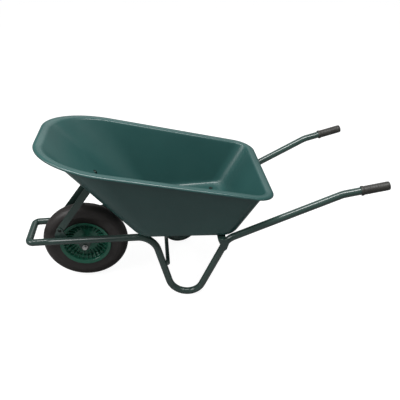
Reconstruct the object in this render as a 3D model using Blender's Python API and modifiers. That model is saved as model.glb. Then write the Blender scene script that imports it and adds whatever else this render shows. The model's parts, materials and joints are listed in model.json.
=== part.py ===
"""A garden wheelbarrow: a moulded tray on a bent-tube frame with one pneumatic wheel.

Metres, +Z up, standing on Z = 0. The wheel is at -X, the handles are at +X, and the left side,
for somebody who holds the handles and looks at the wheel, is -Y. Lengths along X are first given
from the axle and then moved by WHEEL_X, which puts the middle of the whole barrow at X = 0.
"""

import math

import bmesh
import bpy
from mathutils import Matrix, Vector

# ---------------------------------------------------------------- driving dimensions
WHEEL_X = -0.5255
WHEEL_RADIUS = 0.200
GAP = 0.0003

# Frame tube: centre-line corners of the right-hand rail as (x from the axle, half spacing, z).
TUBE_RADIUS = 0.016
TUBE_WALL = 0.0018
FRONT_CORNER = (-0.2450, 0.0857, 0.2594)
RAIL_START = (-0.2000, 0.0857, 0.2594)
ARM_BEND = (-0.1500, 0.0857, 0.2596)
LEG_BEND = (0.3250, 0.1805, 0.3236)
LEG_APEX = (0.4460, 0.2120, -0.15462)
REAR_BEND = (0.6504, 0.2331, 0.3245)
HANDLE_BEND = (1.1212, 0.2770, 0.5512)
HANDLE_END = (1.3081, 0.2929, 0.5928)
RAIL_BEND_RADII = (0.120, 0.082, 0.081, 0.080, 0.122)
FRONT_CORNER_RADIUS = 0.021
BEND_STEPS = 5
TUBE_ROUNDNESS = 3

# Tray: the outer edge of its rim lies in a plane that falls towards the handles.
TRAY_WALL = 0.0040
RIM_FRONT, RIM_REAR = -0.1340, 0.8455
RIM_HALF_FRONT, RIM_HALF_REAR = 0.2985, 0.2875
RIM_CORNER_FRONT, RIM_CORNER_REAR = (0.275, 0.212), (0.095, 0.085)
RIM_HEIGHT, RIM_HEIGHT_AT, RIM_FALL = 0.6505, 0.3567, 0.2255
FLANGE_FRONT, FLANGE_REAR, FLANGE_SIDE = 0.030, 0.030, 0.031
FLANGE_BLEND = 0.010
LIP_HEIGHT = 0.006
FLOOR_FRONT, FLOOR_REAR = 0.246, 0.697
FLOOR_HALF_FRONT, FLOOR_HALF_REAR = 0.2155, 0.2345
FLOOR_CORNER_FRONT, FLOOR_CORNER_REAR = (0.085, 0.085), (0.068, 0.068)
FLOOR_Z = 0.3385
FLOOR_BLEND = 0.012
FLOOR_MIDDLE = 0.100
SMALLEST_CORNER = 0.006

# Wheel, from its middle plane and its axis.
WHEEL_STEPS = 24
TYRE_HALF_WIDTH = 0.044
TYRE_SECTION_HEIGHT = 0.042
TYRE_THICKNESS = 0.0065
BEAD_RADIUS = 0.1055
BEAD_OUT = 0.0330
RIM_EDGE_RADIUS, RIM_EDGE_OUT = 0.1195, 0.0395
RIM_SEAT_RADIUS = 0.1046
RIM_WELL_RADIUS, RIM_WELL_HALF = 0.0910, 0.0110
RIM_WALL = 0.0022
WEB_HALF = 0.0035
FIN_COUNT = 28
FIN_START = 0.0620
FIN_THICKNESS = 0.0025
FIN_TURN = math.radians(3)
HUB_RADIUS = 0.0240
HUB_HALF = 0.0460
BUSH_RADIUS = 0.0140
BUSH_LENGTH = 0.0180
BUSH_FLANGE = 0.0022
AXLE_RADIUS = 0.0060
AXLE_HALF = 0.0800
RUNNING_GAP = 0.0005
VALVE_ANGLE, VALVE_OUT = math.radians(202.3), 0.0095
VALVE_RADIUS = 0.0036
VALVE_TOP, VALVE_TIP = 0.1180, 0.0660
INNER_TUBE_RING, INNER_TUBE_RADIUS, INNER_TUBE_WALL = 0.1565, 0.0330, 0.0020

# Sheet steel under the tray: a strap over the arms, and a bracket at each rear bend.
PLATE = 0.0040
STRAP_Z = FLOOR_Z - GAP - PLATE
STRAP_WIDTH = 0.036
FLOOR_BOLT_FRONT = (0.3200, 0.120)
FLOOR_BOLT_REAR = (0.626, 0.178)
TAB_FRONT, TAB_REAR, TAB_PAST_BOLT = 0.606, 0.642, 0.016
WEB_OUTLINE = (
    (0.606, STRAP_Z + PLATE), (0.606, STRAP_Z), (0.623, 0.291), (0.632, 0.270),
    (0.646, 0.282), (0.654, 0.308), (0.652, STRAP_Z + PLATE),
)

# Axle plates: a round foot at the axle, straight sides, then a lean out to the arm.
AXLE_PLATE_IN = 0.0603
AXLE_PLATE_FOOT, AXLE_PLATE_BEND, AXLE_PLATE_TOP = 0.021, 0.034, 0.064
AXLE_PLATE_BEND_Z = 0.233
AXLE_PLATE_LEAN = 0.0128, 0.0132

# Nose stays, and the lugs on the arms that carry them.
LUG_X = -0.102
LUG_HALF, LUG_FOOT, LUG_SHOULDER, LUG_TOP_RADIUS = 0.030, 0.010, 0.024, 0.016
LUG_BOLT_UP = 0.046
STAY_WIDTH = 0.031
STAY_ON_WALL, STAY_HEAD_Y, STAY_TAB = 0.2765, 0.058, 0.030
STAY_BOLT_SHARE = 0.55

# Brace: a bar welded across the back of the legs.
BRACE_X, BRACE_Z, BRACE_RADIUS, BRACE_HALF = 0.3853, 0.178, 0.0092, 0.197
NOTCH_ROUNDING = 1 / math.cos(math.pi / 24)

GRIP_LENGTH = 0.118
GRIP_RADIUS = 0.0188
GRIP_END = 0.0045
COLLAR_RADIUS = 0.0210

# Fasteners.
BOLT_RADIUS = 0.0040
WASHER, WASHER_RADIUS = 0.0015, 0.0105
NUT_HEIGHT = 0.0065
NUT_CORNER = 0.0075
AXLE_NUT_HEIGHT = 0.0100
AXLE_NUT_CORNER = 0.0110
AXLE_WASHER, AXLE_WASHER_RADIUS = 0.0020, 0.0125
SPACER_RADIUS = 0.0100
BOLT_HEAD = 0.0044
BOLT_CLEARANCE = 0.0006
NUT_CLEARANCE = 0.0005
THREAD_OUT = 0.0030

SIDES = ((-1, "left"), (1, "right"))

# ---------------------------------------------------------------- scene helpers


def clear_scene():
    for obj in list(bpy.data.objects):
        bpy.data.objects.remove(obj, do_unlink=True)


def new_collection(name):
    made = bpy.data.collections.new(name)
    bpy.context.scene.collection.children.link(made)
    return made


clear_scene()
PARTS = new_collection("wheelbarrow")
CUTTERS = new_collection("cutters")


def material(name, colour, roughness, metallic=0.0):
    made = bpy.data.materials.new(name)
    made.use_nodes = True
    shader = made.node_tree.nodes["Principled BSDF"]
    shader.inputs["Base Color"].default_value = (*colour, 1.0)
    shader.inputs["Roughness"].default_value = roughness
    shader.inputs["Metallic"].default_value = metallic
    made.diffuse_color = (*colour, 1.0)
    return made


PAINT = material("green_paint", (0.022, 0.058, 0.044), 0.32)
RIM_PLASTIC = material("rim_plastic", (0.016, 0.120, 0.070), 0.35)
PLASTIC = material("green_plastic", (0.014, 0.070, 0.062), 0.38)
RUBBER = material("tyre_rubber", (0.030, 0.028, 0.026), 0.75)
BUTYL = material("butyl_rubber", (0.012, 0.012, 0.012), 0.80)
GRIP = material("grip_plastic", (0.040, 0.040, 0.036), 0.62)
ZINC = material("zinc_plate", (0.60, 0.61, 0.62), 0.30, 1.0)
BLACK_ZINC = material("black_zinc", (0.040, 0.044, 0.043), 0.40, 1.0)
NYLON = material("nylon", (0.70, 0.69, 0.64), 0.50)


def place_object(obj, matrix):
    if matrix is not None:
        obj.matrix_world = matrix
    return obj


def add(name, mesh, finish, matrix=None, sharp=35):
    """Puts a mesh in the scene as one sub-part with its own copy of the finish."""
    obj = bpy.data.objects.new(name, mesh)
    PARTS.objects.link(obj)
    own = finish.copy()
    own.name = name + "_finish"
    if not mesh.materials:
        mesh.materials.append(None)
    obj.material_slots[0].link = "OBJECT"
    obj.material_slots[0].material = own
    mesh.shade_smooth()
    mesh.set_sharp_from_angle(angle=math.radians(sharp))
    return place_object(obj, matrix)


def add_cutter(name, mesh, matrix=None):
    obj = bpy.data.objects.new(name, mesh)
    CUTTERS.objects.link(obj)
    obj.hide_render = True
    obj.display_type = "WIRE"
    return place_object(obj, matrix)


def boolean(obj, other, operation="DIFFERENCE"):
    step = obj.modifiers.new(operation.title() + "_" + other.name, "BOOLEAN")
    step.operation = operation
    step.object = other
    step.solver = "EXACT"


def solidify(obj, thickness, offset=-1.0):
    step = obj.modifiers.new("Wall", "SOLIDIFY")
    step.thickness = thickness
    step.offset = offset
    step.use_even_offset = True


def screw(obj, steps):
    step = obj.modifiers.new("Turn", "SCREW")
    step.axis = "Z"
    step.angle = math.tau
    step.steps = step.render_steps = steps
    step.use_merge_vertices = True
    step.merge_threshold = 0.00005
    step.use_smooth_shade = True


def mesh_from(name, bm):
    mesh = bpy.data.meshes.new(name)
    bm.to_mesh(mesh)
    bm.free()
    return mesh


# ---------------------------------------------------------------- places


def at(x, y, z):
    """A world point from a length along X measured from the axle."""
    return Vector((WHEEL_X + x, y, z))


def side_points(points, side):
    return [at(x, side * y, z) for x, y, z in points]


def basis(x_axis, y_axis, z_axis, origin):
    return Matrix.Translation(origin) @ Matrix((x_axis, y_axis, z_axis)).transposed().to_4x4()


def wheel_matrix(side=1):
    """The wheel's frame: its local +Z is the axle's direction on that side."""
    return Matrix.Translation(at(0, 0, WHEEL_RADIUS)) @ Matrix.Rotation(-side * math.pi / 2, 4, "X")


def valve_matrix():
    """From the wheel's middle, +Z out along the valve."""
    beside_web = wheel_matrix() @ Matrix.Translation((0, 0, VALVE_OUT))
    return beside_web @ Matrix.Rotation(VALVE_ANGLE, 4, "Z") @ Matrix.Rotation(math.pi / 2, 4, "Y")


def arm_point(x, side):
    """The centre line of the arm beside the wheel, at a length from the axle."""
    start, end = Vector(ARM_BEND), Vector(LEG_BEND)
    point = start.lerp(end, (x - start.x) / (end.x - start.x))
    return at(point.x, side * point.y, point.z)


def rim_z(x):
    """The height of the tray rim's upper face."""
    return RIM_HEIGHT - RIM_FALL * (x - RIM_HEIGHT_AT)


def front_wall():
    """The outside of the tray's flat front wall, in the middle plane: its top, and its way down."""
    top_x = RIM_FRONT + FLANGE_FRONT
    top, foot = at(top_x, 0, rim_z(top_x) - TRAY_WALL), at(FLOOR_FRONT, 0, FLOOR_Z)
    return top, (foot - top).normalized()


def floor_bolt(row, side):
    """The underside of the tray floor at a bolt, +Z down; row 0 is the front pair."""
    x, y = (FLOOR_BOLT_FRONT, FLOOR_BOLT_REAR)[row]
    return Matrix.Translation(at(x, side * y, FLOOR_Z)) @ Matrix.Rotation(math.pi, 4, "X")


def nose_bolt(side):
    """The outside of the front wall at a nose bolt, +Z away from the wall."""
    top, down = front_wall()
    origin = top + down * STAY_ON_WALL + Vector((0, side * (STAY_HEAD_Y - STAY_TAB * STAY_BOLT_SHARE), 0))
    away = Vector((down.z, 0, -down.x))
    return basis(down, away.cross(down), away, origin)


def lug_place(side):
    """The lug stands on the arm's inner side: +X along the arm, +Z to the middle of the barrow."""
    arm = arm_point(LUG_X, side)
    along = arm_point(LUG_X + 0.1, side) - arm
    flat = Vector((along.x, along.y, 0)).normalized()
    inward = Vector((side * flat.y, -side * flat.x, 0))
    return basis(flat, inward.cross(flat), inward, arm + inward * (TUBE_RADIUS + GAP))


def lug_bolt(side):
    """The lug's inner face at its bolt, +Z to the middle of the barrow."""
    up = lug_place(side).col[1].z
    return lug_place(side) @ Matrix.Translation((0, LUG_BOLT_UP * up, PLATE))


# ---------------------------------------------------------------- shapes


def arc(cx, cy, radius, start, end, steps):
    """Points on an arc whose ends are given in degrees."""
    angles = [math.radians(start + (end - start) * i / steps) for i in range(steps + 1)]
    return [(cx + radius * math.cos(a), cy + radius * math.sin(a)) for a in angles]


def filleted(corners, radii, steps=BEND_STEPS):
    """Points along straight runs joined by arcs: one radius for each inner corner."""
    path = [corners[0]]
    for before, corner, after, radius in zip(corners, corners[1:], corners[2:], radii):
        back, ahead = (before - corner).normalized(), (after - corner).normalized()
        half = back.angle(ahead) / 2
        centre = corner + (back + ahead).normalized() * (radius / math.sin(half))
        start = corner + back * (radius / math.tan(half)) - centre
        end = corner + ahead * (radius / math.tan(half)) - centre
        turn = start.angle(end)
        for step in range(steps + 1):
            part = step / steps
            bow = start * math.sin((1 - part) * turn) + end * math.sin(part * turn)
            path.append(centre + bow / math.sin(turn))
    path.append(corners[-1])
    return path


def tube_mesh(name, path):
    """The skin of an open-ended frame tube along a path."""
    curve = bpy.data.curves.new(name, "CURVE")
    curve.dimensions = "3D"
    curve.bevel_depth = TUBE_RADIUS
    curve.bevel_resolution = TUBE_ROUNDNESS
    spline = curve.splines.new("POLY")
    spline.points.add(len(path) - 1)
    for point, place in zip(spline.points, path):
        point.co = (*place, 1.0)
    holder = bpy.data.objects.new(name, curve)
    CUTTERS.objects.link(holder)
    bpy.context.view_layer.update()
    graph = bpy.context.evaluated_depsgraph_get()
    mesh = bpy.data.meshes.new_from_object(holder.evaluated_get(graph))
    bpy.data.objects.remove(holder, do_unlink=True)
    bpy.data.curves.remove(curve)
    return mesh


def steel_tube(name, path):
    """An open-ended tube with the frame's radius and wall."""
    tube = add(name, tube_mesh(name, path), PAINT)
    solidify(tube, TUBE_WALL)
    return tube


def profile_mesh(name, profile, closed):
    bm = bmesh.new()
    verts = [bm.verts.new((radius, 0.0, height)) for radius, height in profile]
    for pair in zip(verts, verts[1:] + verts[:1] if closed else verts[1:]):
        bm.edges.new(pair)
    return mesh_from(name, bm)


def turned(name, profile, finish, matrix, steps, closed=False):
    """A shape turned about its own Z; the profile runs down its outer side."""
    obj = add(name, profile_mesh(name, profile, closed), finish, matrix)
    screw(obj, steps)
    return obj


def ring_profile(inner, outer, low, high):
    return [(outer, high), (outer, low), (inner, low), (inner, high)]


def cylinder(name, radius, low, high, steps=12):
    bm = bmesh.new()
    bmesh.ops.create_cone(
        bm, cap_ends=True, segments=steps, radius1=radius, radius2=radius, depth=high - low
    )
    bmesh.ops.translate(bm, verts=bm.verts, vec=(0, 0, (low + high) / 2))
    return mesh_from(name, bm)


def box(name, size, middle):
    bm = bmesh.new()
    bmesh.ops.create_cube(bm, size=1.0)
    bmesh.ops.scale(bm, verts=bm.verts, vec=size)
    bmesh.ops.translate(bm, verts=bm.verts, vec=middle)
    return mesh_from(name, bm)


def sheet(name, rows):
    """An open surface over rows of points, to be given a thickness."""
    bm = bmesh.new()
    grid = [[bm.verts.new(point) for point in row] for row in rows]
    for low, high in zip(grid, grid[1:]):
        for i in range(len(low) - 1):
            bm.faces.new((low[i], low[i + 1], high[i + 1], high[i]))
    return mesh_from(name, bm)


def plate(name, outline, thickness):
    """A flat plate: its outline in XY, its thickness up from Z = 0."""
    bm = bmesh.new()
    face = bm.faces.new([bm.verts.new((x, y, 0.0)) for x, y in outline])
    grown = bmesh.ops.extrude_face_region(bm, geom=[face])
    raised = [item for item in grown["geom"] if isinstance(item, bmesh.types.BMVert)]
    bmesh.ops.translate(bm, verts=raised, vec=(0, 0, thickness))
    bmesh.ops.recalc_face_normals(bm, faces=bm.faces)
    return mesh_from(name, bm)


BOLT_HOLE = cylinder("bolt_hole", BOLT_RADIUS + BOLT_CLEARANCE, -0.020, 0.020)


def drill(obj, label, matrix):
    """Cuts a clearance hole for a bolt along the matrix's Z."""
    boolean(obj, add_cutter(f"hole_{label}", BOLT_HOLE, matrix))


# ---------------------------------------------------------------- frame


def build_rails():
    """Arm, leg and handle in one bent tube on each side, from the front hoop to the grip."""
    shape = (RAIL_START, ARM_BEND, LEG_BEND, LEG_APEX, REAR_BEND, HANDLE_BEND, HANDLE_END)
    for side, label in SIDES:
        corners = side_points(shape, side)
        corners[-1] += (corners[-2] - corners[-1]).normalized() * GRIP_END
        steel_tube("rail_" + label, filleted(corners, RAIL_BEND_RADII))


def build_front_hoop():
    """The bar ahead of the wheel, bent tight at both corners and butted to the rails."""
    near, far = (side_points((RAIL_START, FRONT_CORNER), side) for side, _ in SIDES)
    corners = [near[0].lerp(near[1], GAP / (near[1] - near[0]).length), near[1]]
    corners += [far[1], far[0].lerp(far[1], GAP / (far[1] - far[0]).length)]
    steel_tube("front_hoop", filleted(corners, (FRONT_CORNER_RADIUS,) * 2))


def build_leg_brace():
    """A round bar across the back of both legs, notched where it lies on them."""
    across = Matrix.Translation(at(BRACE_X, 0, BRACE_Z)) @ Matrix.Rotation(math.pi / 2, 4, "X")
    bar = cylinder("leg_brace", BRACE_RADIUS, -BRACE_HALF, BRACE_HALF, 16)
    brace = add("leg_brace", bar, PAINT, across)
    for side, label in SIDES:
        top, foot = side_points((LEG_BEND, LEG_APEX), side)
        along = (foot - top).to_track_quat("Z", "Y").to_matrix().to_4x4()
        length = (foot - top).length
        leg = cylinder("brace_notch_" + label, (TUBE_RADIUS + GAP) * NOTCH_ROUNDING, 0.0, length, 24)
        boolean(brace, add_cutter("brace_notch_" + label, leg, Matrix.Translation(top) @ along))


def build_axle_brackets():
    """A pressed plate on each side, upright at the axle and leaning out to the arm above it."""
    span = (-1, -0.5, 0, 0.5, 1)
    out, down = AXLE_PLATE_LEAN
    for side, label in SIDES:
        rows = []
        for degrees in (-75, -50, -25, 0):
            a = math.radians(degrees)
            half, z = AXLE_PLATE_FOOT * math.cos(a), WHEEL_RADIUS + AXLE_PLATE_FOOT * math.sin(a)
            rows.append([at(t * half, side * AXLE_PLATE_IN, z) for t in span])
        rows.append([at(t * AXLE_PLATE_BEND, side * AXLE_PLATE_IN, AXLE_PLATE_BEND_Z) for t in span])
        lean = Vector((0, -side * out, -down))
        rows.append([arm_point(t * AXLE_PLATE_TOP, side) + lean for t in span])
        bracket = add("axle_bracket_" + label, sheet("axle_bracket_" + label, rows), PAINT)
        solidify(bracket, PLATE, offset=-side)
        hole = cylinder(
            "axle_hole", AXLE_RADIUS + RUNNING_GAP, AXLE_PLATE_IN - 2 * PLATE, AXLE_PLATE_IN + 2 * PLATE, 16
        )
        boolean(bracket, add_cutter("axle_hole_" + label, hole, wheel_matrix(side)))


def build_tray_brackets():
    """A plate on the outside of each rear bend, with a tab folded in under the tray floor."""
    web_in = REAR_BEND[1] + TUBE_RADIUS + 2 * GAP
    web_out = web_in + PLATE
    tab_in = FLOOR_BOLT_REAR[1] - TAB_PAST_BOLT
    length = TAB_REAR - TAB_FRONT
    for side, label in SIDES:
        upright = Matrix.Translation(at(0, side * web_in + (side > 0) * PLATE, 0))
        upright @= Matrix.Rotation(math.pi / 2, 4, "X")
        web = plate("bracket_web_" + label, WEB_OUTLINE, PLATE)
        bracket = add("tray_bracket_" + label, web, PAINT, upright)
        middle = at((TAB_REAR + TAB_FRONT) / 2, side * (web_out + tab_in) / 2, STRAP_Z + PLATE / 2)
        tab = box("bracket_tab_" + label, (length, web_out - tab_in, PLATE), middle)
        boolean(bracket, add_cutter("bracket_tab_" + label, tab), "UNION")
        drill(bracket, "bracket_" + label, floor_bolt(1, side))


def build_cross_strap():
    """A flat bar over both arms, under the front of the tray."""
    x, y = FLOOR_BOLT_FRONT[0], arm_point(FLOOR_BOLT_FRONT[0], 1).y
    flat = box("tray_cross_strap", (STRAP_WIDTH, 2 * (y + 0.010), PLATE), at(x, 0, STRAP_Z + PLATE / 2))
    strap = add("tray_cross_strap", flat, PAINT)
    for side, label in SIDES:
        drill(strap, "strap_" + label, floor_bolt(0, side))


def build_stay_lugs():
    """A small upright plate on each arm, which the nose stay is bolted to."""
    for side, label in SIDES:
        up = lug_place(side).col[1].z
        shoulder = LUG_HALF - 0.004
        outline = [(-LUG_HALF, -LUG_FOOT), (LUG_HALF, -LUG_FOOT), (shoulder, LUG_SHOULDER)]
        outline += arc(0.0, LUG_BOLT_UP, LUG_TOP_RADIUS, 0, 180, 6) + [(-shoulder, LUG_SHOULDER)]
        upright = plate("stay_lug_" + label, [(x, y * up) for x, y in outline], PLATE)
        lug = add("stay_lug_" + label, upright, PAINT, lug_place(side))
        drill(lug, "lug_" + label, lug_bolt(side))


def build_nose_stays():
    """A flat bar from each lug up to the tray's nose, its top folded against the front wall."""
    half = STAY_WIDTH / 2
    top, down = front_wall()
    off_wall = Vector((down.z, 0, -down.x)) * GAP
    for side, label in SIDES:
        inward = lug_place(side).col[2].to_3d()
        foot = lug_bolt(side).translation + inward * GAP
        head = top + down * STAY_ON_WALL + Vector((0, side * STAY_HEAD_Y, 0)) + off_wall
        along = (head - foot).normalized()
        across = Vector((along.z, 0, -along.x)).normalized()
        flat_along = (along - inward * along.dot(inward)).normalized()
        flat_across = (across - inward * across.dot(inward)).normalized()
        rows = []
        for degrees in (-70, -40, -10):
            a = math.radians(degrees)
            reach = flat_across * half * math.cos(a)
            rows.append([foot + flat_along * half * math.sin(a) + reach * t for t in (-1, 0, 1)])
        rows.append([foot + flat_along * 0.022 + flat_across * half * t for t in (-1, 0, 1)])
        spread = down * (half / down.dot(across))
        fold = Vector((0, -side * STAY_TAB, 0))
        rows.append([head + spread * t for t in (-1, 0, 1)])
        rows.append([head + fold + spread * 0.75 * t for t in (-1, 0, 1)])
        stay = add("nose_stay_" + label, sheet("nose_stay_" + label, rows), PAINT)
        solidify(stay, PLATE, offset=side)
        drill(stay, "stay_foot_" + label, lug_bolt(side))
        drill(stay, "stay_head_" + label, nose_bolt(side))


def build_grips():
    """A moulded sleeve over each handle end, with a collar at its open end."""
    bore = TUBE_RADIUS + 0.0004
    profile = [(0, GRIP_END - GAP), (bore, GRIP_END - GAP), (bore, GRIP_LENGTH)]
    profile += [(COLLAR_RADIUS - 0.0010, GRIP_LENGTH), (COLLAR_RADIUS, GRIP_LENGTH - 0.0020)]
    profile += [(COLLAR_RADIUS - 0.0004, GRIP_LENGTH - 0.0080), (GRIP_RADIUS, GRIP_LENGTH - 0.0110)]
    profile += [(GRIP_RADIUS, 0.0030), (GRIP_RADIUS - 0.0018, 0.0), (0, 0)]
    for side, label in SIDES:
        bend, end = side_points((HANDLE_BEND, HANDLE_END), side)
        back = (bend - end).normalized()
        across = Vector((0, 1, 0)).cross(back).normalized()
        turned("grip_" + label, profile, GRIP, basis(across, back.cross(across), back, end), 16)


# ---------------------------------------------------------------- tray


def even_steps(start, end, count):
    """The points between two others, without them."""
    (x0, y0), (x1, y1) = start, end
    return [(x0 + (x1 - x0) * i / count, y0 + (y1 - y0) * i / count) for i in range(1, count)]


def tray_outline(front, rear, half_front, half_rear, nose_corner, tail_corner):
    """A closed outline as (x, y), each corner a quarter ellipse. Every size has as many points."""
    (nose_x, nose_y), (tail_x, tail_y) = nose_corner, tail_corner
    nose = [
        (front + nose_x * (1 + x), half_front - nose_y * (1 - y)) for x, y in arc(0, 0, 1, 180, 90, 7)
    ]
    tail = [
        (rear - tail_x * (1 - x), half_rear - tail_y * (1 - y)) for x, y in arc(0, 0, 1, 90, 0, 4)
    ]
    right = nose + even_steps(nose[-1], tail[0], 4) + tail
    left = [(x, -y) for x, y in reversed(right)]
    return right + even_steps(right[-1], left[0], 3) + left + even_steps(left[-1], right[0], 2)


def rim_ring(front, rear, side, drop):
    """A ring set in from the rim's edge by these amounts, and dropped from its upper face."""
    outline = tray_outline(
        RIM_FRONT + front, RIM_REAR - rear, RIM_HALF_FRONT - side, RIM_HALF_REAR - side,
        (RIM_CORNER_FRONT[0] - front, RIM_CORNER_FRONT[1] - side),
        (RIM_CORNER_REAR[0] - rear, RIM_CORNER_REAR[1] - side),
    )
    return [at(x, y, rim_z(x) - drop) for x, y in outline]


def floor_ring(inset):
    outline = tray_outline(
        FLOOR_FRONT + inset, FLOOR_REAR - inset, FLOOR_HALF_FRONT - inset, FLOOR_HALF_REAR - inset,
        [max(radius - inset * 0.8, SMALLEST_CORNER) for radius in FLOOR_CORNER_FRONT],
        [max(radius - inset * 0.8, SMALLEST_CORNER) for radius in FLOOR_CORNER_REAR],
    )
    return [at(x, y, FLOOR_Z) for x, y in outline]


def toward(ring, other, length):
    return [a + (b - a).normalized() * length for a, b in zip(ring, other)]


def blend(start, corner, end, steps):
    """Rings along a parabola from one ring to another, bent towards a corner ring between them."""
    rings = []
    for step in range(steps + 1):
        t = step / steps
        shares = (1 - t) ** 2, 2 * t * (1 - t), t**2
        rings.append([a * shares[0] + b * shares[1] + c * shares[2] for a, b, c in zip(start, corner, end)])
    return rings


def flatten(obj, height):
    """Applies the modifiers, then levels every point within half a millimetre of this height."""
    baked = bpy.data.meshes.new_from_object(obj.evaluated_get(bpy.context.evaluated_depsgraph_get()))
    obj.modifiers.clear()
    obj.data = baked
    for vertex in baked.vertices:
        if abs(vertex.co.z - height) < 0.0005:
            vertex.co.z = height


def tray_rings():
    """The tray's outer skin, from its lip down to the middle of its floor, clear of the bolts."""
    rings = []
    for inset, drop in ((0.0, LIP_HEIGHT), (0.0, 0.0026), (0.0026, 0.0)):
        inset += TRAY_WALL
        rings.append(rim_ring(inset, inset, inset, TRAY_WALL + drop))
    top, foot = rim_ring(FLANGE_FRONT, FLANGE_REAR, FLANGE_SIDE, TRAY_WALL), floor_ring(0.0)
    rings += blend(toward(top, rings[-1], FLANGE_BLEND), top, toward(top, foot, FLANGE_BLEND), 2)
    rings += blend(toward(foot, top, FLOOR_BLEND), foot, floor_ring(FLOOR_BLEND), 3)
    return rings + [floor_ring(FLOOR_MIDDLE)]


def build_tray():
    bm = bmesh.new()
    rings = [[bm.verts.new(point) for point in ring] for ring in tray_rings()]
    for upper, lower in zip(rings, rings[1:]):
        for i, corner in enumerate(upper):
            j = (i + 1) % len(upper)
            bm.faces.new((corner, lower[i], lower[j], upper[j]))
    bm.faces.new(rings[-1])
    bmesh.ops.recalc_face_normals(bm, faces=bm.faces)
    if min(bm.faces, key=lambda face: face.calc_center_median().z).normal.z > 0:
        bmesh.ops.reverse_faces(bm, faces=bm.faces)
    tray = add("tray", mesh_from("tray", bm), PLASTIC)
    solidify(tray, TRAY_WALL)
    flatten(tray, FLOOR_Z + TRAY_WALL)
    for side, label in SIDES:
        for row, place in enumerate(("front", "rear")):
            drill(tray, f"floor_{place}_{label}", floor_bolt(row, side))
        drill(tray, "nose_" + label, nose_bolt(side))


# ---------------------------------------------------------------- wheel


def build_tyre():
    middle = WHEEL_RADIUS - TYRE_SECTION_HEIGHT
    crown = [
        (middle + TYRE_SECTION_HEIGHT * math.cos(a), TYRE_HALF_WIDTH * math.sin(a))
        for a in (math.radians(i * 28.5) for i in range(4, -5, -1))
    ]
    bead = [(0.1210, 0.0342), (BEAD_RADIUS, BEAD_OUT)]
    profile = bead[::-1] + crown + [(radius, -height) for radius, height in bead]
    tyre = turned("tyre", profile, RUBBER, wheel_matrix(), WHEEL_STEPS)
    solidify(tyre, TYRE_THICKNESS)


def build_inner_tube():
    """A hollow ring inside the tyre, open only where the valve stem goes in."""
    profile = arc(INNER_TUBE_RING, 0, INNER_TUBE_RADIUS, 90, -270, 8)[:-1]
    tube = turned("inner_tube", profile, BUTYL, wheel_matrix(), WHEEL_STEPS, closed=True)
    solidify(tube, INNER_TUBE_WALL)
    hole = cylinder("tube_valve_hole", VALVE_RADIUS + 0.0006, 0.100, 0.150)
    boolean(tube, add_cutter("tube_valve_hole", hole, valve_matrix()))


def build_rim():
    """The moulded rim in one piece: ring with a dropped well, web, hub, and fins on both faces."""
    well, seat, wall = RIM_WELL_RADIUS, RIM_SEAT_RADIUS, RIM_WALL
    outside = [(RIM_EDGE_RADIUS, RIM_EDGE_OUT), (0.1110, 0.0358), (seat + 0.0002, 0.0340)]
    outside += [(seat, 0.0190), (well + 0.0025, 0.0140), (well, RIM_WELL_HALF)]
    inside = [(BUSH_RADIUS + RUNNING_GAP, HUB_HALF), (HUB_RADIUS, HUB_HALF), (HUB_RADIUS + 0.001, 0.0100)]
    inside += [(0.0300, WEB_HALF + 0.001), (0.0600, WEB_HALF), (well - 0.0040, 0.0050)]
    inside += [(well - 0.0025, 0.0112)]
    inside += [(well + 0.0010, 0.0157), (seat - wall, 0.0205), (seat - 0.0018, 0.0357), (0.1102, 0.0377)]
    inside += [(RIM_EDGE_RADIUS - 0.0008, RIM_EDGE_OUT + 0.0018)]
    profile = outside + [(radius, -out) for radius, out in reversed(outside)]
    profile += [(radius, -out) for radius, out in reversed(inside)] + inside
    rim = turned("rim", profile, RIM_PLASTIC, wheel_matrix(), WHEEL_STEPS, closed=True)
    boolean(rim, add_cutter("rim_fins", rim_fins(), wheel_matrix()), "UNION")
    hole = cylinder("rim_valve_hole", VALVE_RADIUS + 0.0008, 0.080, 0.100)
    boolean(rim, add_cutter("rim_valve_hole", hole, valve_matrix()))


def rim_fins():
    """The fins of both faces: each fills the corner between the web and the ring, and bites into both."""
    well, seat = RIM_WELL_RADIUS, RIM_SEAT_RADIUS
    inner = WEB_HALF - 0.0015
    outline = [(FIN_START - 0.0015, inner), (FIN_START, 0.0090), (seat - 0.0013, 0.0325)]
    outline += [(seat - 0.0013, 0.0197), (well + 0.0018, 0.0149), (well - 0.0013, 0.0112)]
    outline += [(well - 0.0020, inner)]
    bm = bmesh.new()
    for side in (-1, 1):
        for i in range(FIN_COUNT):
            turn = Matrix.Rotation(FIN_TURN + math.tau * i / FIN_COUNT, 3, "Z")
            halves = []
            for across in (-FIN_THICKNESS / 2, FIN_THICKNESS / 2):
                halves.append([bm.verts.new(turn @ Vector((r, across, side * out))) for r, out in outline])
            bm.faces.new(halves[0])
            bm.faces.new(halves[1])
            for j in range(len(outline)):
                k = (j + 1) % len(outline)
                bm.faces.new((halves[0][j], halves[0][k], halves[1][k], halves[1][j]))
    bmesh.ops.recalc_face_normals(bm, faces=bm.faces)
    return mesh_from("rim_fins", bm)


def build_bushes():
    """A flanged bush pushed into each end of the rim's hub."""
    bore, flange = AXLE_RADIUS + RUNNING_GAP, BUSH_RADIUS + 0.0025
    seat, inner = HUB_HALF + GAP, HUB_HALF - BUSH_LENGTH
    bush = [(flange, seat + BUSH_FLANGE), (flange, seat), (BUSH_RADIUS, seat)]
    bush += [(BUSH_RADIUS, inner), (bore, inner), (bore, seat + BUSH_FLANGE)]
    for side, label in SIDES:
        turned("hub_bush_" + label, bush, NYLON, wheel_matrix(side), 20, closed=True)


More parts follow.
